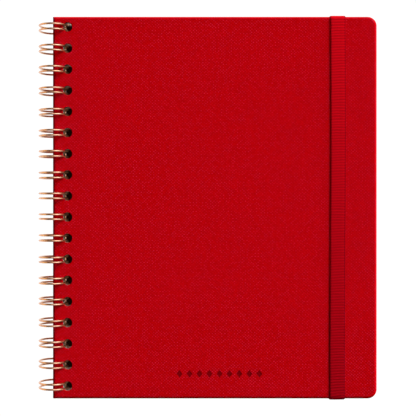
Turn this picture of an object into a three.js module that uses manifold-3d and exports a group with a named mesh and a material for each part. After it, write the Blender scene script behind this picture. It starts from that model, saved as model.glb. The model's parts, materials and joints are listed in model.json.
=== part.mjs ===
// A hard-cover notebook, bound with a twin-loop wire and held shut by an elastic band.
//
// The book frame has its origin on the axis of the wire's rings, +X towards the fore-edge, +Y towards
// the head and +Z out of the front cover. The notebook lies on its back cover, so it stands on the
// rings at the spine and on the elastic band near the fore-edge, and the whole book leans by TILT.
// All sizes are in millimetres.
import * as THREE from "three";
import { mergeVertices } from "three/addons/utils/BufferGeometryUtils.js";
import Module from "manifold-3d";

// Covers
const COVER_WIDTH = 130.1;
const COVER_HEIGHT = 153.4;
const COVER_EDGE_X = 0.15; // spine edge of both covers, measured from the ring axis
const CORNER_RADIUS = 3.7; // fore-edge corners
const CORNER_SEGMENTS = 4;
const BOOK_THICKNESS = 6.2;
const CLOTH = 0.22;
const BOARD = 1;
const ENDPAPER = 0.1;
const GLUE = 0.02; // clearance between pieces that lie on each other
const TURN_IN = 14; // width of the cloth folded onto the inside of a board
const ENDPAPER_INSET = 1.4;

// Wire and its punched holes
const LOOP_COUNT = 18;
const LOOP_PITCH = 25.4 / 3;
const LOOP_ROW_SHIFT = 0.45; // the row of holes sits a little nearer the head
const RING_OUTER_RADIUS = 6;
const WIRE_RADIUS = 0.4;
const WIRE_SIDES = 5;
const LEG_OFFSET = 1; // half the distance between the two wires of one loop
const BEND_RADIUS = 0.8;
const RING_STEP = 24; // degrees between two sections of a ring
const TIP_DEPTH = 0.86; // a loop's tip closes inside the ring by this much
const TIP_INWARD_FROM = 325; // degrees round the ring where the legs start to draw inwards
const HOLE_X = 6.15;
const HOLE_RADIUS = 2.05;
const HOLE_SIDES = 6;

// Sheets
const LEAF_COUNT = 12; // each leaf is a bundle of two sheets
const LEAF_THICKNESS = 0.15;
const PAGE_EDGE_X = 1.2;
const PAGE_MARGIN = 1.25; // how far the sheets stay inside the covers at head and foot
const PAGE_FORE_MARGIN = 2;
const PAGE_CORNER = 3;

// Elastic band
const BAND_X = 114.5;
const BAND_WIDTH = 6.35;
const BAND_THICKNESS = 0.8;
const BAND_GAP = 0.03;
const SLOT_Y = 66; // inner side of the slots that the band enters the back cover through
const TAIL_LENGTH = 11.5;
const SLOT_CLEARANCE = 0.2;

// Derived places, in the book frame
const RING_RADIUS = RING_OUTER_RADIUS - WIRE_RADIUS;
const OUTER_Z = BOOK_THICKNESS / 2;
const BOARD_Z = OUTER_Z - CLOTH - GLUE; // outer face of a board
const TURN_IN_Z = BOARD_Z - BOARD - GLUE; // outer face of the turned-in cloth
const ENDPAPER_Z = TURN_IN_Z - CLOTH - GLUE; // glued face of an endpaper
const INNER_Z = ENDPAPER_Z - ENDPAPER; // open face of an endpaper
const FORE_EDGE_X = COVER_EDGE_X + COVER_WIDTH;
const HALF_HEIGHT = COVER_HEIGHT / 2;
const RING_CORNER = RING_RADIUS / Math.cos((RING_STEP * Math.PI) / 360);
const SEAM_Z = -INNER_Z + GLUE + WIRE_RADIUS; // the wire's seam lies on the back endpaper
const SEAM_ANGLE = (Math.asin(SEAM_Z / RING_CORNER) * 180) / Math.PI;
const BAND_BACK_Z = -OUTER_Z - BAND_GAP - BAND_THICKNESS;
const TILT = tiltOfBook();

const wasm = await Module();
wasm.setup();

const materials = {
  cloth: new THREE.MeshStandardMaterial({ color: 0xb3040f, roughness: 0.85 }),
  board: new THREE.MeshStandardMaterial({ color: 0x8c8479, roughness: 0.95 }),
  endpaper: new THREE.MeshStandardMaterial({ color: 0xf1ead9, roughness: 0.9 }),
  paper: new THREE.MeshStandardMaterial({ color: 0xf6f1e3, roughness: 0.9 }),
  wire: new THREE.MeshStandardMaterial({ color: 0xc08552, roughness: 0.3, metalness: 1 }),
  elastic: new THREE.MeshStandardMaterial({ color: 0xa80512, roughness: 0.8 }),
};

// The lean that brings the lowest corner of the band down to the plane under the rings.
function tiltOfBook() {
  const reach = BAND_X + BAND_WIDTH / 2;
  const drop = -BAND_BACK_Z;
  return Math.asin(RING_OUTER_RADIUS / Math.hypot(reach, drop)) - Math.atan2(drop, reach);
}

function toSolid(geometry) {
  const bare = geometry.clone();
  bare.deleteAttribute("normal");
  bare.deleteAttribute("uv");
  const merged = mergeVertices(bare, 1e-4);
  const triVerts = new Uint32Array(merged.index.array);
  const vertProperties = merged.attributes.position.array;
  return new wasm.Manifold(new wasm.Mesh({ numProp: 3, vertProperties, triVerts }));
}

function toGeometry(solid) {
  const mesh = solid.getMesh();
  const geometry = new THREE.BufferGeometry();
  geometry.setAttribute("position", new THREE.BufferAttribute(mesh.vertProperties, mesh.numProp));
  geometry.setIndex(new THREE.BufferAttribute(mesh.triVerts, 1));
  geometry.computeVertexNormals();
  return geometry;
}

function loopY(index) {
  return (index - (LOOP_COUNT - 1) / 2) * LOOP_PITCH + LOOP_ROW_SHIFT;
}

// A rectangle in the XY plane whose two fore-edge corners are rounded.
function plateOutline(left, right, halfHeight, radius) {
  const shape = new THREE.Shape();
  shape.moveTo(left, -halfHeight);
  shape.lineTo(right - radius, -halfHeight);
  shape.absarc(right - radius, -halfHeight + radius, radius, -Math.PI / 2, 0);
  shape.lineTo(right, halfHeight - radius);
  shape.absarc(right - radius, halfHeight - radius, radius, 0, Math.PI / 2);
  shape.lineTo(left, halfHeight);
  shape.closePath();
  return shape;
}

// A regular polygon with its corners on a circle and a flat side towards +X.
function polygonPoints(x, y, corner, sides) {
  const points = [];
  for (let i = 0; i < sides; i++) {
    const angle = ((i + 0.5) * 2 * Math.PI) / sides;
    points.push(new THREE.Vector2(x + corner * Math.cos(angle), y + corner * Math.sin(angle)));
  }
  return points;
}

function holeOutline(index) {
  const corner = HOLE_RADIUS / Math.cos(Math.PI / HOLE_SIDES);
  return new THREE.Path(polygonPoints(HOLE_X, loopY(index), corner, HOLE_SIDES));
}

function extrudeUp(shape, bottom, top, curveSegments = CORNER_SEGMENTS / 2) {
  const geometry = new THREE.ExtrudeGeometry(shape, {
    depth: top - bottom,
    bevelEnabled: false,
    curveSegments,
  });
  return geometry.translate(0, 0, bottom);
}

// A flat punched piece between two heights.
function punchedPlate(left, right, halfHeight, radius, bottom, top) {
  const shape = plateOutline(left, right, halfHeight, radius);
  for (let i = 0; i < LOOP_COUNT; i++) shape.holes.push(holeOutline(i));
  return extrudeUp(shape, bottom, top);
}

function box(x0, x1, y0, y1, z0, z1) {
  const geometry = new THREE.BoxGeometry(x1 - x0, y1 - y0, z1 - z0);
  return toSolid(geometry.translate((x0 + x1) / 2, (y0 + y1) / 2, (z0 + z1) / 2));
}

// Cloth wrapped round a front board: the outer skin, its four edges and the turned-in border.
function clothSolid() {
  const skin = toSolid(
    punchedPlate(COVER_EDGE_X, FORE_EDGE_X, HALF_HEIGHT, CORNER_RADIUS, ENDPAPER_Z + GLUE, OUTER_Z),
  );
  const inset = CLOTH; // the board's room starts one thickness of cloth inside the edges
  const pocket = plateOutline(
    COVER_EDGE_X + inset,
    FORE_EDGE_X - inset,
    HALF_HEIGHT - inset,
    CORNER_RADIUS - inset,
  );
  const window = box(
    COVER_EDGE_X + TURN_IN,
    FORE_EDGE_X - TURN_IN,
    -HALF_HEIGHT + TURN_IN,
    HALF_HEIGHT - TURN_IN,
    ENDPAPER_Z - 1,
    BOARD_Z - BOARD / 2,
  );
  return skin
    .subtract(toSolid(extrudeUp(pocket, TURN_IN_Z, BOARD_Z + GLUE)))
    .subtract(window);
}

function boardSolid() {
  const inset = CLOTH + GLUE;
  return toSolid(
    punchedPlate(
      COVER_EDGE_X + inset,
      FORE_EDGE_X - inset,
      HALF_HEIGHT - inset,
      CORNER_RADIUS - inset,
      BOARD_Z - BOARD,
      BOARD_Z,
    ),
  );
}

function endpaperSolid() {
  return toSolid(
    punchedPlate(
      COVER_EDGE_X + ENDPAPER_INSET,
      FORE_EDGE_X - ENDPAPER_INSET,
      HALF_HEIGHT - ENDPAPER_INSET,
      CORNER_RADIUS - ENDPAPER_INSET,
      INNER_Z,
      ENDPAPER_Z,
    ),
  );
}

// The front cover's piece turned over to serve as the back cover's.
function turnedOver(solid) {
  return solid.mirror([0, 0, 1]);
}

// The room that one end of the band needs in the back cover: a slot right through, and a recess for
// the glued tail under the endpaper. side is 1 at the head and -1 at the foot.
function bandRoom(side) {
  const half = BAND_WIDTH / 2 + SLOT_CLEARANCE;
  const near = side * (SLOT_Y - SLOT_CLEARANCE);
  const far = side * (SLOT_Y + BAND_THICKNESS + SLOT_CLEARANCE);
  const tail = side * (SLOT_Y - TAIL_LENGTH - SLOT_CLEARANCE);
  const [slotLow, slotHigh] = [near, far].sort((a, b) => a - b);
  const [tailLow, tailHigh] = [tail, far].sort((a, b) => a - b);
  const recessZ = -ENDPAPER_Z - BAND_THICKNESS - 2 * BAND_GAP;
  const slot = box(BAND_X - half, BAND_X + half, slotLow, slotHigh, -OUTER_Z - 1, 0);
  return slot.add(box(BAND_X - half, BAND_X + half, tailLow, tailHigh, recessZ, 0));
}

function withBandRoom(solid) {
  return solid.subtract(bandRoom(1)).subtract(bandRoom(-1));
}

// Leaves fill the room between the wire's seam and the front cover, counted from the front cover down.
function leafGeometry(index) {
  const bottomOfStack = SEAM_Z + WIRE_RADIUS + GLUE;
  const pitch = (INNER_Z - bottomOfStack) / LEAF_COUNT;
  const top = INNER_Z - GLUE - index * pitch;
  return punchedPlate(
    PAGE_EDGE_X,
    FORE_EDGE_X - PAGE_FORE_MARGIN,
    HALF_HEIGHT - PAGE_MARGIN,
    PAGE_CORNER,
    top - LEAF_THICKNESS,
    top,
  );
}

// A curve through a list of points, one section at each point.
class PointPath extends THREE.Curve {
  constructor(points) {
    super();
    this.points = points;
  }
  getPointAt(u, target = new THREE.Vector3()) {
    const place = u * (this.points.length - 1);
    const index = Math.min(Math.floor(place), this.points.length - 2);
    return target.lerpVectors(this.points[index], this.points[index + 1], place - index);
  }
  getTangentAt(u, target = new THREE.Vector3()) {
    const index = Math.round(u * (this.points.length - 1));
    const before = this.points[Math.max(index - 1, 0)];
    const after = this.points[Math.min(index + 1, this.points.length - 1)];
    return target.subVectors(after, before).normalize();
  }
}

function ringPoint(degrees, y) {
  const inward = THREE.MathUtils.smoothstep(degrees, TIP_INWARD_FROM, 360 + SEAM_ANGLE);
  const radius = RING_CORNER - TIP_DEPTH * inward;
  const angle = THREE.MathUtils.degToRad(degrees);
  return new THREE.Vector3(radius * Math.cos(angle), y, radius * Math.sin(angle));
}

// Centre line of one loop, from its root at the foot side, round the ring to the tip and back.
function loopPoints(centreY) {
  const bend = THREE.MathUtils.radToDeg(BEND_RADIUS / RING_RADIUS);
  const diagonal = 1 - Math.SQRT1_2;
  const points = [];
  const leg = (y, outward) => {
    const side = [
      ringPoint(SEAM_ANGLE, y + outward * BEND_RADIUS),
      ringPoint(SEAM_ANGLE + bend * diagonal, y + outward * BEND_RADIUS * diagonal),
    ];
    for (let angle = SEAM_ANGLE + bend; angle < TIP_INWARD_FROM; angle += RING_STEP) {
      side.push(ringPoint(angle, y));
    }
    const lastTurn = 360 + SEAM_ANGLE - bend;
    side.push(ringPoint((TIP_INWARD_FROM + lastTurn) / 2, y));
    side.push(ringPoint(lastTurn, y));
    side.push(ringPoint(360 + SEAM_ANGLE - bend * diagonal, y - outward * BEND_RADIUS * diagonal));
    return side;
  };
  points.push(...leg(centreY - LEG_OFFSET, -1));
  points.push(ringPoint(360 + SEAM_ANGLE, centreY));
  points.push(...leg(centreY + LEG_OFFSET, 1).reverse());
  return points;
}

function wireGeometry() {
  const points = [];
  for (let i = 0; i < LOOP_COUNT; i++) points.push(...loopPoints(loopY(i)));
  return new THREE.ExtrudeGeometry(new THREE.Shape(polygonPoints(0, 0, WIRE_RADIUS, WIRE_SIDES)), {
    steps: points.length - 1,
    extrudePath: new PointPath(points),
  });
}

// Outline of half of the band, seen along X: over the front, round the edges, into the slot, and the tail.
function bandHalf(side) {
  const inside = HALF_HEIGHT + BAND_GAP;
  const front = OUTER_Z + BAND_GAP;
  const back = -OUTER_Z - BAND_GAP;
  const tailTop = -ENDPAPER_Z - BAND_GAP;
  const round = [];
  for (let i = 0; i <= 3; i++) {
    const angle = (i * Math.PI) / 6;
    round.push([Math.cos(angle) * BAND_THICKNESS, Math.sin(angle) * BAND_THICKNESS]);
  }
  const outer = [
    ...round.map(([c, s]) => [inside + s, front + c]),
    ...round.map(([c, s]) => [inside + c, back - s]),
    [SLOT_Y, BAND_BACK_Z],
    [SLOT_Y, tailTop - BAND_THICKNESS],
    [SLOT_Y - TAIL_LENGTH, tailTop - BAND_THICKNESS],
  ];
  const inner = [
    [SLOT_Y - TAIL_LENGTH, tailTop],
    [SLOT_Y + BAND_THICKNESS, tailTop],
    [SLOT_Y + BAND_THICKNESS, back],
    [inside, back],
    [inside, front],
  ];
  return [...outer, ...inner].map(([y, z]) => new THREE.Vector2(side * y, z));
}

function bandGeometry() {
  const outline = [...bandHalf(1), ...bandHalf(-1).reverse()];
  const geometry = new THREE.ExtrudeGeometry(new THREE.Shape(outline), {
    depth: BAND_WIDTH,
    bevelEnabled: false,
  });
  // the outline was drawn as (y, z) and extruded along x
  geometry.applyMatrix4(new THREE.Matrix4().set(0, 0, 1, 0, 1, 0, 0, 0, 0, 1, 0, 0, 0, 0, 0, 1));
  return geometry.translate(BAND_X - BAND_WIDTH / 2, 0, 0);
}

const book = new THREE.Group();

function addPiece(name, geometry, material) {
  const mesh = new THREE.Mesh(geometry, material);
  mesh.name = name;
  book.add(mesh);
}

addPiece("front_cover_cloth", toGeometry(clothSolid()), materials.cloth);
addPiece("front_cover_board", toGeometry(boardSolid()), materials.board);
addPiece("front_endpaper", toGeometry(endpaperSolid()), materials.endpaper);
for (let i = 0; i < LEAF_COUNT; i++) {
  addPiece(`leaf_${String(i + 1).padStart(2, "0")}`, leafGeometry(i), materials.paper);
}
addPiece("back_endpaper", toGeometry(turnedOver(endpaperSolid())), materials.endpaper);
addPiece("back_cover_board", toGeometry(withBandRoom(turnedOver(boardSolid()))), materials.board);
addPiece("back_cover_cloth", toGeometry(withBandRoom(turnedOver(clothSolid()))), materials.cloth);
addPiece("twin_loop_wire", wireGeometry(), materials.wire);
addPiece("elastic_band", bandGeometry(), materials.elastic);

book.rotation.y = TILT;
const notebook = new THREE.Group().add(book);
const extent = new THREE.Box3().setFromObject(notebook, true);
book.position.set(-(extent.min.x + extent.max.x) / 2, 0, -extent.min.z);

export default notebook;
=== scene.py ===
"""The looks of a wire-bound notebook: woven cloth covers, ruled sheets, a twin-loop wire and an elastic.

Everything is built in the book frame and then placed with one matrix. The book frame has its origin on
the axis of the wire's rings, +X towards the fore-edge, +Y towards the head and +Z out of the front
cover. Sizes are in millimetres until a mesh is made.
"""
import json
import math
import random

import bmesh
import bpy
from mathutils import Matrix, Vector


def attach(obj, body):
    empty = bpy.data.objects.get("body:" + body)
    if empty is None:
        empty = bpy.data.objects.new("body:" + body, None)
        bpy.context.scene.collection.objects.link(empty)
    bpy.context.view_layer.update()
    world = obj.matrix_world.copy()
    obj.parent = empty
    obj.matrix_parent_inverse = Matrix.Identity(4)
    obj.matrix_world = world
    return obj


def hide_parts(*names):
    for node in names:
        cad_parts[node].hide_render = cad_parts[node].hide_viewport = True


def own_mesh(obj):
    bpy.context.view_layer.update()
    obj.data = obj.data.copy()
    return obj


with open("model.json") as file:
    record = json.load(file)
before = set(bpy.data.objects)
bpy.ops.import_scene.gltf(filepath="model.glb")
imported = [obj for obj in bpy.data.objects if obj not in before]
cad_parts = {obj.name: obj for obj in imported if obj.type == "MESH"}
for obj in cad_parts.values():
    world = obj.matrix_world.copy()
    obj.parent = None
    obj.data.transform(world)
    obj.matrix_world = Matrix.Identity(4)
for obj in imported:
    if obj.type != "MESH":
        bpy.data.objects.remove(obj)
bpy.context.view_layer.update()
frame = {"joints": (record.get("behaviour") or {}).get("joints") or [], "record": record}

MM = 0.001

# Covers
COVER_WIDTH = 130.1
COVER_HEIGHT = 153.4
COVER_EDGE_X = 0.15
CORNER_RADIUS = 3.7
SPINE_CORNER_RADIUS = 0.3
LEAST_CORNER_RADIUS = 0.02
CORNER_STEPS = 10
OUTER_Z = 3.1
CLOTH = 0.22
BOARD = 1.0
ENDPAPER = 0.1
GLUE = 0.02
TURN_IN = 14.0
ENDPAPER_INSET = 1.4
EDGE_RADIUS = 1.2
INNER_EDGE_RADIUS = 0.25

# Woven cloth and board
WARP_STEP = 0.634
WEFT_STEP = 0.584
YARN_SHADE = 0.8
BOARD_DARK = (0.1, 0.075, 0.055)
BOARD_LIGHT = (0.2, 0.16, 0.125)

# Wire and holes
LOOP_COUNT = 18
LOOP_PITCH = 25.4 / 3
LOOP_ROW_SHIFT = 0.45
RING_RADIUS = 5.6
WIRE_RADIUS = 0.4
WIRE_SIDES = 12
LEG_OFFSET = 1.0
BEND_RADIUS = 0.8
TIP_DEPTH = 0.78
TIP_INWARD_FROM = 325.0
LEG_STEPS = 56
LOOP_LEAN = 0.22
LOOP_PINCH = 0.08
WIRE_DULL = (0.7, 0.29, 0.1)
WIRE_BRIGHT = (0.84, 0.41, 0.18)
HOLE_X = 6.15
HOLE_RADIUS = 1.86
HOLE_SIDES = 32
HOLE_FLARE = 0.14
FLARE_BEND = 0.3
BOARD_HOLE_RADIUS = HOLE_RADIUS + 0.04
PAPER_HOLE_RADIUS = HOLE_RADIUS + 0.05

# Sheets
LEAF_COUNT = 12
SHEET = 0.063
SHEET_GAP = 0.02
LEAF_CUT_DEPTH = 0.2
PAGE_EDGE_X = 1.2
PAGE_MARGIN = 1.25
PAGE_FORE_MARGIN = 2.0
PAGE_CORNER = 3.0
PAGE_EDGE_PLAY = 0.1
PAGE_FORE_PLAY = 0.12
PAGE_HEIGHT_PLAY = 0.08
RULE_SPACING = 7.1
RULE_EDGE = (0.03, 0.015)
RULE_PHASE = 100.5
RULED_TOP = 62.1
RULED_BOTTOM = -69.8
RULED_LEFT = 11.1
RULE_FADE = 0.1
RULE_STRENGTH = 0.75
RULE_COLOUR = (0.42, 0.43, 0.46)

# Elastic band
BAND_X = 114.5
BAND_WIDTH = 6.3
BAND_BASE = 0.36
BAND_GAP = 0.03
BAND_STEP = 0.14
BAND_STEPS_ACROSS = 20
BACK_WIDTH = 0.97
# A fixed share of the band's darker colour on its back
BACK_DARKENING = 0.3
RIM_THICKNESS = 0.35
RIM_POWER = 16
RIB_HEIGHT = 0.09
RIB_PITCH = 1.1
RIB_POWER = 0.7
RIB_WAIST = 0.045
# Share of the darker colour painted into the rib valleys as shade
RIB_VALLEY_PAINTED_SHADE = 0.4
RIB_STRETCH = (0.85, 1.15)
RIB_SLANT = 0.5
RIB_SLANT_AT_FOOT = 1.3
RIB_JITTER = 0.12
SLANT_PULL = 0.02
WANDER_PULL = 0.03
# Painted shade along the band's right edge, deeper in the rib valleys
RIGHT_EDGE_SHADE_FROM = 0.8
RIGHT_EDGE_SHADE_FADE = 0.1
RIGHT_EDGE_SHADE_AT_CREST = 0.6
DRIFT_AT_FOOT = -0.35
DRIFT_WAVE = 0.12
DRIFT_LENGTH = 23
# Painted light: the band's colour is set lighter, as lit at its head
ELASTIC_LIT_HEAD_COLOUR = (0.61, 0.0025, 0.008)
# Darker colour: the yarn's tone, and painted shade in the rib valleys and along the right edge
ELASTIC_DARK_YARN_AND_PAINTED_SHADE = (0.1, 0.0006, 0.003)
# Painted shade that the band darkens towards, more towards the foot
ELASTIC_PAINTED_SHADE = (0.0, 0.0, 0.003)
FOOT_PAINTED_SHADE = 0.42
STITCH_PITCH = 0.5
SLOT_Y = 66.0
SLOT_THICKNESS = 0.8
TAIL_LENGTH = 11.5
SLOT_CLEARANCE = 0.2
WRAP_BEND = 1.6
SLOT_BEND = 0.45

# Mark pressed into the cover, above its lower edge
MARK_X = 67.0
MARK_Y = -66.6
MARK_WIDTH = 36.0
MARK_HEIGHT = 3.2
MARK_DEPTH = 0.16
MARK_COUNT = 9
LOZENGE_HALF_WIDTH = 1.25
LOZENGE_FLOOR = 0.9

# Camera over the front cover
CAMERA_X = 62.46
CAMERA_Y = -0.13
CAMERA_HEIGHT = 357.0
VIEW_WIDTH = 166.75
SENSOR_WIDTH = 36

# Stage: sizes in metres, and the shade on the floor in millimetres
FLOOR_SIZE = 3.0
BACKDROP_RADIUS = 3.0
WHITE_GLOW = 1.05
SHADE_X = 3.05
SHADE_ACROSS = (64.9, 61.5)
SHADE_ALONG = (76.6, 74.4)
SHADE_COLOUR = (0.0067, 0.0017, 0.0006)
HORIZON = 0.1
LIGHT_BELOW = 0.6
LIGHT_ABOVE = 0.06
KEY_BEARING = 38
KEY_HEIGHT = 18
KEY_DISTANCE = 10.0
KEY_SIZE = 6.6
KEY_POWER = 3000

# Steps in a quarter turn, how far a cutter passes a face, and how far two cutters overlap
ARC_STEPS = 6
CUT_PAST = 0.3
OVERLAP = 0.01

BOARD_Z = OUTER_Z - CLOTH - GLUE
TURN_IN_Z = BOARD_Z - BOARD - GLUE
ENDPAPER_Z = TURN_IN_Z - CLOTH - GLUE
INNER_Z = ENDPAPER_Z - ENDPAPER
FORE_EDGE_X = COVER_EDGE_X + COVER_WIDTH
HALF_HEIGHT = COVER_HEIGHT / 2
SEAM_Z = -INNER_Z + GLUE + WIRE_RADIUS
SEAM_ANGLE = math.degrees(math.asin(SEAM_Z / RING_RADIUS))


def book_matrix():
    """Place of the book frame, from the hinge line and the back cover's normal."""
    hinge = next(j for j in frame["joints"] if j["name"] == "front_cover_turn")
    face = next(m for m in frame["record"]["mounts"] if m["name"] == "back_face")
    lean = math.atan2(-face["axis"][0], -face["axis"][2])
    return Matrix.Translation(Vector(hinge["pos_m"])) @ Matrix.Rotation(lean, 4, "Y")


BOOK = book_matrix()


# Mesh helpers


def new_object(name, data):
    thing = bpy.data.objects.new(name, data)
    bpy.context.collection.objects.link(thing)
    return thing


def new_piece(name, vertices, faces, material=None):
    """An object from millimetre coordinates in the book frame."""
    mesh = bpy.data.meshes.new(name)
    mesh.from_pydata([Vector(v) * MM for v in vertices], [], faces)
    mesh.validate()
    piece = new_object(name, mesh)
    piece.matrix_world = BOOK
    if material:
        mesh.materials.append(material)
    return piece


def recalculate(piece):
    """Turn every face outwards."""
    work = bmesh.new()
    work.from_mesh(piece.data)
    bmesh.ops.recalc_face_normals(work, faces=work.faces)
    work.to_mesh(piece.data)
    work.free()


def smooth(piece, sharp_from=35):
    """Smooth shading that keeps flat faces flat, and edges of sharp_from degrees or more crisp."""
    piece.data.shade_smooth()
    piece.data.set_sharp_from_angle(angle=math.radians(sharp_from))
    modifier = piece.modifiers.new("normals", "WEIGHTED_NORMAL")
    modifier.keep_sharp = True
    modifier.weight = 100


def cut(piece, cutter):
    """Subtract cutter from piece, keep the cutter's materials on the cut faces, and drop the cutter."""
    modifier = piece.modifiers.new("cut", "BOOLEAN")
    modifier.operation = "DIFFERENCE"
    modifier.solver = "EXACT"
    modifier.material_mode = "TRANSFER"
    modifier.object = cutter
    bpy.context.view_layer.update()
    depsgraph = bpy.context.evaluated_depsgraph_get()
    result = bpy.data.meshes.new_from_object(piece.evaluated_get(depsgraph))
    piece.modifiers.clear()
    piece.data = result
    bpy.data.objects.remove(cutter)


def outline(left, right, half_height, fore_radius, spine_radius, inset):
    """A rounded rectangle, anticlockwise, moved inwards by inset."""
    corners = [
        (right, -half_height, fore_radius, -90),
        (right, half_height, fore_radius, 0),
        (left, half_height, spine_radius, 90),
        (left, -half_height, spine_radius, 180),
    ]
    middle = (left + right) / 2
    points = []
    for x, y, radius, start in corners:
        depth = max(radius, inset + LEAST_CORNER_RADIUS)
        centre_x = x - math.copysign(depth, x - middle)
        centre_y = y - math.copysign(depth, y)
        reach = depth - inset
        for i in range(CORNER_STEPS + 1):
            angle = math.radians(start + 90 * i / CORNER_STEPS)
            points.append((centre_x + reach * math.cos(angle), centre_y + reach * math.sin(angle)))
    return points


def loft(name, rings, material):
    """A closed solid through rings of equal length, lowest first, with flat ends."""
    count = len(rings[0])
    vertices = [v for ring in rings for v in ring]
    faces = [tuple(reversed(range(count)))]
    for r in range(len(rings) - 1):
        for i in range(count):
            j = (i + 1) % count
            faces.append((r * count + i, r * count + j, (r + 1) * count + j, (r + 1) * count + i))
    faces.append(tuple(range((len(rings) - 1) * count, len(rings) * count)))
    return new_piece(name, vertices, faces, material)


def plate(name, left, right, half_height, corner, bottom, top, material, low_edge=0.0, high_edge=0.0):
    """A flat plate whose lower and upper edges may be rounded."""
    profile = []
    for edge, z, way in ((low_edge, bottom, 1), (high_edge, top, -1)):
        arc = [(0.0, z)]
        if edge:
            turns = [math.radians(90 * i / ARC_STEPS) for i in range(ARC_STEPS + 1)]
            arc = [(edge * (1 - math.sin(a)), z + way * edge * (1 - math.cos(a))) for a in turns]
        profile += arc if way == 1 else reversed(arc)
    rings = []
    for inset, z in profile:
        points = outline(left, right, half_height, corner, SPINE_CORNER_RADIUS, inset)
        rings.append([(x, y, z) for x, y in points])
    return loft(name, rings, material)


def box(x0, x1, y0, y1, z0, z1, material=None):
    ring = [(x0, y0), (x1, y0), (x1, y1), (x0, y1)]
    return loft("box", [[(x, y, z) for x, y in ring] for z in (z0, z1)], material)


def join(pieces):
    """One object from several that don't touch."""
    work = bmesh.new()
    for piece in pieces:
        work.from_mesh(piece.data)
    result = pieces[0].data
    work.to_mesh(result)
    work.free()
    for piece in pieces[1:]:
        bpy.data.objects.remove(piece)
    return pieces[0]


def loop_y(index):
    """Place of a loop along the spine, counted from the foot."""
    return (index - (LOOP_COUNT - 1) / 2) * LOOP_PITCH + LOOP_ROW_SHIFT


def hole_cutters(bottom, top, radius, material, flare=0.0):
    """The row of punched holes, which flare where they meet the faces."""
    bend = FLARE_BEND * flare
    profile = [
        (bottom - CUT_PAST, radius + flare + CUT_PAST),
        (bottom, radius + flare),
        (bottom + bend, radius + bend),
        (bottom + flare, radius),
        (top - flare, radius),
        (top - bend, radius + bend),
        (top, radius + flare),
        (top + CUT_PAST, radius + flare + CUT_PAST),
    ]
    turns = [2 * math.pi * (i + 0.5) / HOLE_SIDES for i in range(HOLE_SIDES)]
    cutters = []
    for index in range(LOOP_COUNT):
        y = loop_y(index)
        rings = []
        for z, r in profile:
            rings.append([(HOLE_X + r * math.cos(a), y + r * math.sin(a), z) for a in turns])
        cutters.append(loft("holes", rings, material))
    return join(cutters)


# Material helpers


class Nodes:
    """Short names for building a node tree."""

    def __init__(self, name):
        self.material = bpy.data.materials.new(name)
        self.material.use_nodes = True
        self.tree = self.material.node_tree
        self.tree.nodes.clear()
        output = self.tree.nodes.new("ShaderNodeOutputMaterial")
        self.shader = self.tree.nodes.new("ShaderNodeBsdfPrincipled")
        self.link(self.shader.outputs["BSDF"], output.inputs["Surface"])

    def link(self, source, target):
        self.tree.links.new(source, target)

    def feed(self, socket, value):
        """Link a socket to another, or give it a plain value."""
        if isinstance(value, bpy.types.NodeSocket):
            self.link(value, socket)
        else:
            socket.default_value = value

    def math(self, operation, a, b=0.0, clamp=False):
        node = self.tree.nodes.new("ShaderNodeMath")
        node.operation = operation
        node.use_clamp = clamp
        for socket, value in zip(node.inputs, (a, b)):
            self.feed(socket, value)
        return node.outputs[0]

    def place(self):
        """Place on the object, in millimetres, as three numbers."""
        coordinates = self.tree.nodes.new("ShaderNodeTexCoord")
        scaled = self.tree.nodes.new("ShaderNodeVectorMath")
        scaled.operation = "SCALE"
        scaled.inputs["Scale"].default_value = 1 / MM
        self.link(coordinates.outputs["Object"], scaled.inputs[0])
        split = self.tree.nodes.new("ShaderNodeSeparateXYZ")
        self.link(scaled.outputs[0], split.inputs[0])
        return split.outputs[0], split.outputs[1], split.outputs[2]

    def vector(self, x, y, z=0.0):
        node = self.tree.nodes.new("ShaderNodeCombineXYZ")
        for socket, value in zip(node.inputs, (x, y, z)):
            self.feed(socket, value)
        return node.outputs[0]

    def noise(self, vector, scale, detail=2.0, roughness=0.5):
        node = self.tree.nodes.new("ShaderNodeTexNoise")
        self.link(vector, node.inputs["Vector"])
        node.inputs["Scale"].default_value = scale
        node.inputs["Detail"].default_value = detail
        node.inputs["Roughness"].default_value = roughness
        return node.outputs["Fac"]

    def fit(self, value, low, high, new_low=0.0, new_high=1.0):
        """Carry low..high over to new_low..new_high with soft ends."""
        node = self.tree.nodes.new("ShaderNodeMapRange")
        node.interpolation_type = "SMOOTHSTEP"
        numbers = {"From Min": low, "From Max": high, "To Min": new_low, "To Max": new_high}
        for name, number in numbers.items():
            node.inputs[name].default_value = number
        self.link(value, node.inputs["Value"])
        return node.outputs["Result"]

    def mix(self, factor, a, b):
        node = self.tree.nodes.new("ShaderNodeMix")
        node.data_type = "RGBA"
        self.feed(node.inputs["Factor"], factor)
        for socket, value in ((node.inputs[6], a), (node.inputs[7], b)):
            self.feed(socket, value if isinstance(value, bpy.types.NodeSocket) else (*value, 1))
        return node.outputs[2]

    def bump(self, height, distance):
        node = self.tree.nodes.new("ShaderNodeBump")
        node.inputs["Strength"].default_value = 1.0
        node.inputs["Distance"].default_value = distance * MM
        self.link(height, node.inputs["Height"])
        return node.outputs["Normal"]

    def attribute(self, name):
        node = self.tree.nodes.new("ShaderNodeAttribute")
        node.attribute_name = name
        return node.outputs["Fac"]

    def set(self, **values):
        """Feed the shader's sockets, named with underscores for spaces."""
        for name, value in values.items():
            self.feed(self.shader.inputs[name.replace("_", " ")], value)


def weave(nodes, x, y, z):
    """Height of a plain weave whose threads wobble a little."""
    wobble = nodes.noise(nodes.vector(x, y, z), scale=0.35, detail=1.0)
    u = nodes.math("ADD", nodes.math("ADD", x, z), nodes.math("MULTIPLY", wobble, 0.5))
    v = nodes.math("SUBTRACT", nodes.math("ADD", y, nodes.math("MULTIPLY", wobble, 0.4)), z)
    across = nodes.math("SINE", nodes.math("MULTIPLY", u, math.pi / WARP_STEP))
    along = nodes.math("SINE", nodes.math("MULTIPLY", v, math.pi / WEFT_STEP))
    return nodes.math("MULTIPLY", across, along)


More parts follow.
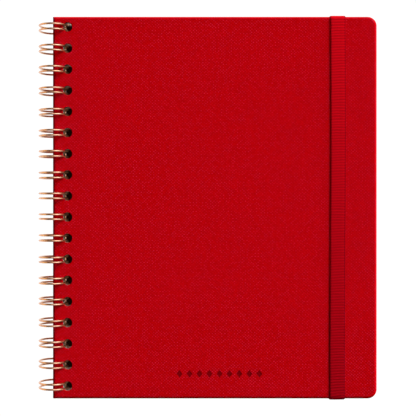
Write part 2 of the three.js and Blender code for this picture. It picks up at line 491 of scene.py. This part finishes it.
def cloth_material(name, base, fleck, roughness, weave_depth):
    nodes = Nodes(name)
    x, y, z = nodes.place()
    place = nodes.vector(x, y, z)
    checker = weave(nodes, x, y, z)
    raised = nodes.fit(checker, 0.1, 0.9)
    threads = nodes.noise(place, scale=1.7, detail=1.0)
    grain = nodes.noise(nodes.vector(y, z, x), scale=1.5, detail=1.0)
    darker = tuple(c * YARN_SHADE for c in base)
    colour = nodes.mix(nodes.fit(grain, 0.25, 0.75), darker, base)
    visible = nodes.math("MULTIPLY", raised, nodes.fit(threads, 0.42, 0.66, 0.1, 1.0))
    colour = nodes.mix(visible, colour, fleck)
    fine = nodes.noise(place, scale=6.0)
    height = nodes.math("ADD", checker, nodes.math("MULTIPLY", fine, 0.6))
    nodes.set(Base_Color=colour, Roughness=roughness, Normal=nodes.bump(height, weave_depth))
    nodes.set(Specular_IOR_Level=0.0)
    return nodes.material


def board_material():
    nodes = Nodes("greyboard")
    x, y, z = nodes.place()
    place = nodes.vector(x, y, nodes.math("MULTIPLY", z, 6))
    fibres = nodes.noise(place, scale=1.6, detail=5.0, roughness=0.65)
    colour = nodes.mix(nodes.fit(fibres, 0.3, 0.7), BOARD_DARK, BOARD_LIGHT)
    nodes.set(Base_Color=colour, Roughness=0.95, Normal=nodes.bump(fibres, 0.08))
    return nodes.material


def paper_material(name, tint, shade, ruled):
    nodes = Nodes(name)
    x, y, z = nodes.place()
    place = nodes.vector(x, y, z)
    fibres = nodes.noise(place, scale=1.4, detail=5.0, roughness=0.7)
    colour = nodes.mix(nodes.fit(fibres, 0.35, 0.65), shade, tint)
    if ruled:
        rows = nodes.math("ADD", nodes.math("DIVIDE", y, RULE_SPACING), RULE_PHASE)
        from_line = nodes.math("ABSOLUTE", nodes.math("SUBTRACT", nodes.math("FRACT", rows), 0.5))
        below = nodes.fit(y, RULED_TOP + RULE_FADE, RULED_TOP)
        above = nodes.fit(y, RULED_BOTTOM - RULE_FADE, RULED_BOTTOM)
        beside = nodes.fit(x, RULED_LEFT - RULE_FADE, RULED_LEFT)
        ink = nodes.fit(from_line, *RULE_EDGE)
        for part in (below, above, beside, RULE_STRENGTH):
            ink = nodes.math("MULTIPLY", ink, part)
        colour = nodes.mix(ink, colour, RULE_COLOUR)
    nodes.set(Base_Color=colour, Roughness=0.9, Normal=nodes.bump(fibres, 0.02))
    nodes.set(Specular_IOR_Level=0.2)
    return nodes.material


def wire_material():
    nodes = Nodes("rose_gold_wire")
    x, y, z = nodes.place()
    place = nodes.vector(x, y, z)
    wear = nodes.noise(place, scale=0.9, detail=4.0, roughness=0.6)
    stretched = nodes.vector(x, nodes.math("MULTIPLY", y, 5), z)
    scratches = nodes.noise(stretched, scale=3.0, detail=3.0)
    colour = nodes.mix(nodes.fit(wear, 0.35, 0.7), WIRE_DULL, WIRE_BRIGHT)
    rough = nodes.fit(scratches, 0.3, 0.7, 0.28, 0.4)
    nodes.set(Base_Color=colour, Roughness=rough, Normal=nodes.bump(scratches, 0.01), Metallic=1.0)
    nodes.set(Coat_Weight=1.0, Coat_Roughness=0.15, Coat_IOR=1.9)
    return nodes.material


def elastic_material():
    nodes = Nodes("ribbed_elastic")
    x, y, z = nodes.place()
    darkening = nodes.attribute("darkening")
    stretched = nodes.vector(nodes.math("MULTIPLY", x, 3.5), y, z)
    yarn = nodes.noise(stretched, scale=2.2, detail=3.0)
    # Painted shade: the darkening attribute mixes in the darker colour in the rib valleys and along the
    # right edge, and a fixed share on the back
    colour = nodes.mix(darkening, ELASTIC_LIT_HEAD_COLOUR, ELASTIC_DARK_YARN_AND_PAINTED_SHADE)
    colour = nodes.mix(nodes.fit(yarn, 0.45, 0.75, 0.0, 0.15), colour, ELASTIC_DARK_YARN_AND_PAINTED_SHADE)
    # Painted light and shade: the band is lightest at the head and darkens towards the foot
    towards_foot = nodes.math("SUBTRACT", 0.5, nodes.math("DIVIDE", y, COVER_HEIGHT), clamp=True)
    colour = nodes.mix(nodes.math("MULTIPLY", towards_foot, FOOT_PAINTED_SHADE), colour, ELASTIC_PAINTED_SHADE)
    stitches = nodes.math("SINE", nodes.math("MULTIPLY", x, 2 * math.pi / STITCH_PITCH))
    height = nodes.math("ADD", yarn, nodes.math("MULTIPLY", stitches, 0.15))
    nodes.set(Base_Color=colour, Roughness=0.7, Normal=nodes.bump(height, 0.08))
    nodes.set(Specular_IOR_Level=0.0)
    return nodes.material


CLOTH_LOOK = cloth_material("woven_cloth", base=(0.47, 0.0002, 0.0012), fleck=(0.55, 0.02, 0.06),
                            roughness=0.85, weave_depth=0.03)
PRESSED_LOOK = cloth_material("pressed_cloth", base=(0.2, 0.001, 0.003), fleck=(0.26, 0.002, 0.006),
                              roughness=0.6, weave_depth=0.02)
BOARD_LOOK = board_material()
ENDPAPER_LOOK = paper_material("endpaper", tint=(0.83, 0.79, 0.69), shade=(0.78, 0.73, 0.62), ruled=False)
PAPER_LOOK = paper_material("ruled_paper", tint=(0.87, 0.84, 0.76), shade=(0.82, 0.78, 0.69), ruled=True)
WIRE_LOOK = wire_material()
ELASTIC_LOOK = elastic_material()


# Covers


def mark_cutter():
    """A plain row of lozenges: an ornament with no lettering."""
    levels = (
        (OUTER_Z - MARK_DEPTH, LOZENGE_FLOOR),
        (OUTER_Z + OVERLAP, 1.0),
        (OUTER_Z + CUT_PAST, 1.0),
    )
    pieces = []
    for i in range(MARK_COUNT):
        x = MARK_X + (i - (MARK_COUNT - 1) / 2) * MARK_WIDTH / MARK_COUNT
        rings = []
        for z, grow in levels:
            across = LOZENGE_HALF_WIDTH * grow
            along = MARK_HEIGHT / 2 * grow
            rings.append([
                (x, MARK_Y - along, z),
                (x + across, MARK_Y, z),
                (x, MARK_Y + along, z),
                (x - across, MARK_Y, z),
            ])
        pieces.append(loft("mark", rings, PRESSED_LOOK))
    return join(pieces)


def band_room_cutters():
    """Slots for the band's ends, and the recesses where its tails are glued, in the back cover."""
    half = BAND_WIDTH / 2 + SLOT_CLEARANCE
    near = SLOT_Y - SLOT_CLEARANCE
    far = SLOT_Y + SLOT_THICKNESS + SLOT_CLEARANCE
    tail = SLOT_Y - TAIL_LENGTH - SLOT_CLEARANCE
    deep = -ENDPAPER_Z - SLOT_THICKNESS - 2 * BAND_GAP
    cutters = []
    for side in (1, -1):
        slot = sorted((side * near, side * far))
        recess = sorted((side * tail, side * near - side * OVERLAP))
        cutters.append(box(BAND_X - half, BAND_X + half, *slot, -OUTER_Z - 1, 0))
        cutters.append(box(BAND_X - half, BAND_X + half, *recess, deep, 0))
    return cutters


def turn_over(piece):
    """Mirror a front cover's piece to serve as the back cover's."""
    piece.data.transform(Matrix.Scale(-1, 4, (0, 0, 1)))
    piece.data.flip_normals()


def finish_piece(piece, sharp_from=35):
    """The last steps of every piece's mesh."""
    recalculate(piece)
    smooth(piece, sharp_from)
    return piece


def cloth_piece(side):
    """The cloth over the outside and round the edges, hollow where the board lies, with turn-ins."""
    piece = plate(f"{side}_woven_cloth", COVER_EDGE_X, FORE_EDGE_X, HALF_HEIGHT, CORNER_RADIUS,
                  ENDPAPER_Z + GLUE, OUTER_Z, CLOTH_LOOK, INNER_EDGE_RADIUS, EDGE_RADIUS)
    pocket = plate("pocket", COVER_EDGE_X + CLOTH, FORE_EDGE_X - CLOTH, HALF_HEIGHT - CLOTH,
                   CORNER_RADIUS - CLOTH, TURN_IN_Z, BOARD_Z + GLUE, CLOTH_LOOK,
                   high_edge=EDGE_RADIUS - CLOTH)
    cut(piece, pocket)
    window = box(COVER_EDGE_X + TURN_IN, FORE_EDGE_X - TURN_IN, -HALF_HEIGHT + TURN_IN,
                 HALF_HEIGHT - TURN_IN, ENDPAPER_Z - 1, BOARD_Z - BOARD / 2, CLOTH_LOOK)
    cut(piece, window)
    cut(piece, hole_cutters(ENDPAPER_Z + GLUE, OUTER_Z, HOLE_RADIUS, CLOTH_LOOK, HOLE_FLARE))
    if side == "front":
        cut(piece, mark_cutter())
    else:
        turn_over(piece)
        for cutter in band_room_cutters():
            cut(piece, cutter)
    return finish_piece(piece)


def board_piece(side):
    inset = CLOTH + GLUE
    piece = plate(f"{side}_greyboard", COVER_EDGE_X + inset, FORE_EDGE_X - inset, HALF_HEIGHT - inset,
                  CORNER_RADIUS - inset, BOARD_Z - BOARD, BOARD_Z, BOARD_LOOK,
                  high_edge=EDGE_RADIUS - inset)
    cut(piece, hole_cutters(BOARD_Z - BOARD, BOARD_Z, BOARD_HOLE_RADIUS, BOARD_LOOK))
    if side == "back":
        turn_over(piece)
        for cutter in band_room_cutters():
            cut(piece, cutter)
    return finish_piece(piece)


def endpaper_piece(side):
    piece = plate(f"{side}_endpaper_sheet", COVER_EDGE_X + ENDPAPER_INSET, FORE_EDGE_X - ENDPAPER_INSET,
                  HALF_HEIGHT - ENDPAPER_INSET, CORNER_RADIUS - ENDPAPER_INSET, INNER_Z, ENDPAPER_Z,
                  ENDPAPER_LOOK)
    cut(piece, hole_cutters(INNER_Z, ENDPAPER_Z, PAPER_HOLE_RADIUS, ENDPAPER_LOOK))
    if side == "back":
        turn_over(piece)
    return finish_piece(piece)


def make_cover(side, body):
    for piece, node, slot in (
        (cloth_piece(side), f"{side}_cover_cloth", "cover_cloth"),
        (board_piece(side), f"{side}_cover_board", "cover_board"),
        (endpaper_piece(side), f"{side}_endpaper", "endpaper"),
    ):
        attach(piece, body)
        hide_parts(node)


# Sheets


def leaf_piece(index, rng):
    """Two ruled sheets, each cut a hair differently."""
    seam_top = SEAM_Z + WIRE_RADIUS + GLUE
    pitch = (INNER_Z - seam_top) / LEAF_COUNT
    top = INNER_Z - GLUE - index * pitch
    sheets = []
    for s in range(2):
        high = top - s * (SHEET + SHEET_GAP)
        fore = FORE_EDGE_X - PAGE_FORE_MARGIN - rng.uniform(0, PAGE_FORE_PLAY)
        spine = PAGE_EDGE_X + rng.uniform(0, PAGE_EDGE_PLAY)
        half_height = HALF_HEIGHT - PAGE_MARGIN - rng.uniform(0, PAGE_HEIGHT_PLAY)
        sheets.append(plate("sheet", spine, fore, half_height, PAGE_CORNER, high - SHEET, high, PAPER_LOOK))
    piece = join(sheets)
    piece.name = f"sheets_{index + 1:02d}"
    cut(piece, hole_cutters(top - LEAF_CUT_DEPTH, top, PAPER_HOLE_RADIUS, PAPER_LOOK))
    return finish_piece(piece)


def make_sheets():
    rng = random.Random(5)
    bodies = frame["record"]["behaviour"]["bodies"]
    for index in range(LEAF_COUNT):
        piece = leaf_piece(index, rng)
        node = f"leaf_{index + 1:02d}"
        body = next(name for name, nodes in bodies.items() if node in nodes)
        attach(piece, body)
        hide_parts(node)


# Wire


def ring_point(degrees, y):
    """A point on the ring, which draws inwards towards the loop's tip."""
    share = min(max((degrees - TIP_INWARD_FROM) / (360 + SEAM_ANGLE - TIP_INWARD_FROM), 0), 1)
    radius = RING_RADIUS - TIP_DEPTH * share * share * (3 - 2 * share)
    angle = math.radians(degrees)
    return Vector((radius * math.cos(angle), y, radius * math.sin(angle)))


def leg_points(y, outward, lean):
    """One leg, from its root up and round the ring to its half of the tip."""
    bend = math.degrees(BEND_RADIUS / RING_RADIUS)
    last = 360 + SEAM_ANGLE
    turns = [math.radians(90 * i / ARC_STEPS) for i in range(ARC_STEPS)]
    points = []
    for turn in turns:
        away = BEND_RADIUS * (1 - math.sin(turn))
        points.append(ring_point(SEAM_ANGLE + bend * (1 - math.cos(turn)), y + outward * away))
    for i in range(1, LEG_STEPS):
        share = i / LEG_STEPS
        degrees = SEAM_ANGLE + bend + (last - SEAM_ANGLE - 2 * bend) * share
        points.append(ring_point(degrees, y + lean * math.sin(math.pi * share)))
    for turn in turns:
        inward = BEND_RADIUS * (1 - math.cos(turn))
        points.append(ring_point(last - bend * (1 - math.sin(turn)), y - outward * inward))
    return points


def wire_points():
    rng = random.Random(11)
    points = []
    for index in range(LOOP_COUNT):
        y = loop_y(index)
        lean = rng.uniform(-LOOP_LEAN, LOOP_LEAN)
        pinch = rng.uniform(-LOOP_PINCH, LOOP_PINCH)
        points += leg_points(y - LEG_OFFSET, -1, lean + pinch)
        points.append(ring_point(360 + SEAM_ANGLE, y))
        points += reversed(leg_points(y + LEG_OFFSET, 1, lean - pinch))
    return points


def path_tangent(points, i):
    """Direction of a path at one of its points, from its neighbours."""
    before = points[max(i - 1, 0)]
    after = points[min(i + 1, len(points) - 1)]
    return (after - before).normalized()


def sweep(name, points, radius, sides, material):
    """A round rod along a path, with its section carried along without twist."""
    turns = [2 * math.pi * k / sides for k in range(sides)]
    side = Vector((0, 0, 1))
    rings = []
    for i, point in enumerate(points):
        tangent = path_tangent(points, i)
        side = (side - tangent * side.dot(tangent)).normalized()
        up = tangent.cross(side)
        rings.append([point + (side * math.cos(a) + up * math.sin(a)) * radius for a in turns])
    return loft(name, rings, material)


def make_wire():
    piece = sweep("twin_loops", wire_points(), WIRE_RADIUS, WIRE_SIDES, WIRE_LOOK)
    finish_piece(piece, sharp_from=60)
    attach(piece, "back_cover")
    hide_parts("twin_loop_wire")


# Elastic band


def rounded_path(corners, step):
    """Points along a polyline of (y, z, bend) corners, each rounded over the length of its bend."""
    places = [Vector((y, z)) for y, z, bend in corners]
    path = [places[0]]
    for i in range(1, len(corners) - 1):
        corner = places[i]
        bend = corners[i][2]
        start = corner + (places[i - 1] - corner).normalized() * bend
        end = corner + (places[i + 1] - corner).normalized() * bend
        for k in range(ARC_STEPS + 1):
            t = k / ARC_STEPS
            path.append(start * (1 - t) ** 2 + corner * 2 * t * (1 - t) + end * t ** 2)
    path.append(places[-1])
    dense = [path[0]]
    for a, b in zip(path, path[1:]):
        count = max(1, round((b - a).length / step))
        dense += [a.lerp(b, k / count) for k in range(1, count + 1)]
    return dense


def band_path():
    """Middle line of the band, seen along X: tail, slot, round head, front, foot, slot and tail."""
    lift = BAND_GAP + BAND_BASE / 2
    front = OUTER_Z + lift
    edge = HALF_HEIGHT + lift
    tail = -ENDPAPER_Z - SLOT_THICKNESS / 2 - BAND_GAP
    slot = SLOT_Y + SLOT_THICKNESS / 2
    half = [
        (SLOT_Y - TAIL_LENGTH, tail, 0.0),
        (slot, tail, SLOT_BEND),
        (slot, -front, SLOT_BEND),
        (edge, -front, WRAP_BEND),
        (edge, front, WRAP_BEND),
    ]
    other = [(-y, z, bend) for y, z, bend in reversed(half)]
    return rounded_path(half + other, BAND_STEP)


def band_section(phase, slant, wander):
    """Offsets (across, outwards, darkening) round one section of the band, from edge to edge and back. The
    darkening is painted shade in the rib valleys and along the right edge, and a fixed share on the back.
    """
    half = BAND_WIDTH / 2
    ring = []
    for k in range(BAND_STEPS_ACROSS + 1):
        u = -1 + 2 * k / BAND_STEPS_ACROSS
        wave = 0.5 + 0.5 * math.cos(phase + slant * u + wander * math.sin(2.5 * u + wander))
        rib = wave ** RIB_POWER
        valley = 1 - rib
        edge = math.sqrt(max(1 - abs(u) ** RIM_POWER, 0))
        rise = (BAND_BASE + RIB_HEIGHT * rib) * (RIM_THICKNESS + (1 - RIM_THICKNESS) * edge)
        # Painted shade along the right edge, deeper in the rib valleys
        right_edge_shade = min(max((u - RIGHT_EDGE_SHADE_FROM) / RIGHT_EDGE_SHADE_FADE, 0), 1)
        scalloped_right_edge_shade = right_edge_shade * (RIGHT_EDGE_SHADE_AT_CREST + (1 - RIGHT_EDGE_SHADE_AT_CREST) * valley)
        # The darker of the painted shade in the rib valley and at the right edge
        darkening = max(RIB_VALLEY_PAINTED_SHADE * valley, scalloped_right_edge_shade)
        ring.append((u * half * (1 - RIB_WAIST * valley), rise - BAND_BASE / 2, darkening))
    # The back gets a fixed share of the darker colour
    for u in (1, 0.5, 0, -0.5, -1):
        ring.append((u * half * BACK_WIDTH, -BAND_BASE / 2, BACK_DARKENING))
    return ring


def band_piece():
    """The whole band, with ribs that slant and wander a little more towards the foot."""
    rng = random.Random(3)
    path = band_path()
    rings = []
    darkenings = []
    phase = 0.0
    slant = RIB_SLANT
    wander = 0.0
    for i, point in enumerate(path):
        tangent = path_tangent(path, i)
        outward = Vector((tangent.y, -tangent.x))
        if i:
            ribs = (point - path[i - 1]).length / RIB_PITCH
            phase += 2 * math.pi * ribs * rng.uniform(*RIB_STRETCH)
        towards_foot = max(0.0, -point.x / HALF_HEIGHT) ** 2
        usual_slant = RIB_SLANT + RIB_SLANT_AT_FOOT * towards_foot
        slant += rng.uniform(-RIB_JITTER, RIB_JITTER) - (slant - usual_slant) * SLANT_PULL
        wander += rng.uniform(-RIB_JITTER, RIB_JITTER) - wander * WANDER_PULL
        drift = DRIFT_AT_FOOT * towards_foot + DRIFT_WAVE * math.sin(point.x / DRIFT_LENGTH)
        ring = []
        for across, out, darkening in band_section(phase, slant, wander):
            place = point + outward * out
            ring.append((BAND_X + across + drift, place.x, place.y))
            darkenings.append(darkening)
        rings.append(ring)
    piece = loft("ribbed_elastic", rings, ELASTIC_LOOK)
    # The darkening attribute carries the painted shade to the material
    layer = piece.data.attributes.new("darkening", "FLOAT", "POINT")
    layer.data.foreach_set("value", darkenings)
    return finish_piece(piece, sharp_from=70)


def make_band():
    piece = band_piece()
    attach(piece, "closure_band")
    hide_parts("elastic_band")
    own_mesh(piece)


# Stage


def glow_only(nodes, colour):
    """Make a material that gives off light and reflects none."""
    nodes.set(Base_Color=(0, 0, 0, 1), Specular_IOR_Level=0.0)
    nodes.set(Emission_Color=colour, Emission_Strength=WHITE_GLOW)


def floor():
    """A white floor with a soft painted shadow under the book, which shows through the holes."""
    mesh = bpy.data.meshes.new("floor")
    corners = [(-1, -1), (1, -1), (1, 1), (-1, 1)]
    mesh.from_pydata([(x * FLOOR_SIZE, y * FLOOR_SIZE, 0) for x, y in corners], [], [(0, 1, 2, 3)])
    plane = new_object("floor", mesh)
    nodes = Nodes("white_floor")
    x, y, z = nodes.place()
    across = nodes.math("ABSOLUTE", nodes.math("SUBTRACT", x, SHADE_X))
    along = nodes.math("ABSOLUTE", y)
    # Painted shadow: the glow fades to a dark brown under the book
    under = nodes.math("MULTIPLY", nodes.fit(across, *SHADE_ACROSS), nodes.fit(along, *SHADE_ALONG))
    glow_only(nodes, nodes.mix(under, (1, 1, 1), SHADE_COLOUR))
    mesh.materials.append(nodes.material)
    plane.visible_diffuse = False


def backdrop():
    """A white dome that only the camera sees, so every view has the same plain background."""
    mesh = bpy.data.meshes.new("backdrop")
    work = bmesh.new()
    bmesh.ops.create_icosphere(work, subdivisions=3, radius=BACKDROP_RADIUS)
    work.to_mesh(mesh)
    work.free()
    dome = new_object("backdrop", mesh)
    nodes = Nodes("white_backdrop")
    glow_only(nodes, (1, 1, 1, 1))
    mesh.materials.append(nodes.material)
    dome.visible_diffuse = False
    dome.visible_glossy = False
    dome.visible_shadow = False


def area_light(name, place, size, power, colour=(1, 1, 1)):
    """A square light that faces the origin of the row frame."""
    light = bpy.data.lights.new(name, "AREA")
    light.size = size
    light.energy = power
    light.color = colour
    lamp = new_object(name, light)
    lamp.location = place
    lamp.rotation_euler = (-Vector(place)).to_track_quat("-Z", "Y").to_euler()
    return lamp


def surroundings():
    """An even white world, weak above the horizon and stronger below it."""
    world = bpy.data.worlds.new("studio")
    bpy.context.scene.world = world
    world.use_nodes = True
    nodes = world.node_tree.nodes
    links = world.node_tree.links
    background = nodes["Background"]
    coordinates = nodes.new("ShaderNodeTexCoord")
    split = nodes.new("ShaderNodeSeparateXYZ")
    fade = nodes.new("ShaderNodeMapRange")
    numbers = {"From Min": -HORIZON, "From Max": HORIZON, "To Min": LIGHT_BELOW, "To Max": LIGHT_ABOVE}
    for name, number in numbers.items():
        fade.inputs[name].default_value = number
    links.new(coordinates.outputs["Generated"], split.inputs[0])
    links.new(split.outputs["Z"], fade.inputs["Value"])
    links.new(fade.outputs["Result"], background.inputs["Strength"])
    background.inputs["Color"].default_value = (1, 1, 1, 1)


def lights():
    """A low key light for the cloth, a weak one overhead, and two seen only in reflections, for the wire."""
    bearing = math.radians(KEY_BEARING)
    height = math.radians(KEY_HEIGHT)
    flat = math.cos(height)
    towards_key = Vector((flat * math.cos(bearing), flat * math.sin(bearing), math.sin(height)))
    key = area_light("key", towards_key * KEY_DISTANCE, KEY_SIZE, KEY_POWER)
    key.visible_glossy = False
    area_light("overhead", (-0.15, 0.05, 1.6), size=0.35, power=1.6)
    sheen = area_light("sheen", (0.9, 0.4, 1.2), size=1.6, power=40, colour=(0.72, 0.79, 1.0))
    sheen.visible_diffuse = False
    fill = area_light("fill", (-1.3, 0.0, 0.6), size=1.0, power=6.5, colour=(1.0, 0.8, 0.42))
    fill.visible_diffuse = False


def camera():
    data = bpy.data.cameras.new("camera")
    data.sensor_width = SENSOR_WIDTH
    data.lens = SENSOR_WIDTH * CAMERA_HEIGHT / VIEW_WIDTH
    data.clip_start = 0.01
    eye = new_object("camera", data)
    place = Vector((CAMERA_X, CAMERA_Y, OUTER_Z + CAMERA_HEIGHT)) * MM
    eye.matrix_world = BOOK @ Matrix.Translation(place)
    bpy.context.scene.camera = eye
    bpy.context.scene.view_settings.view_transform = "Standard"


camera()
make_cover("front", "front_cover")
make_cover("back", "back_cover")
make_sheets()
make_wire()
make_band()
floor()
backdrop()
surroundings()
lights()
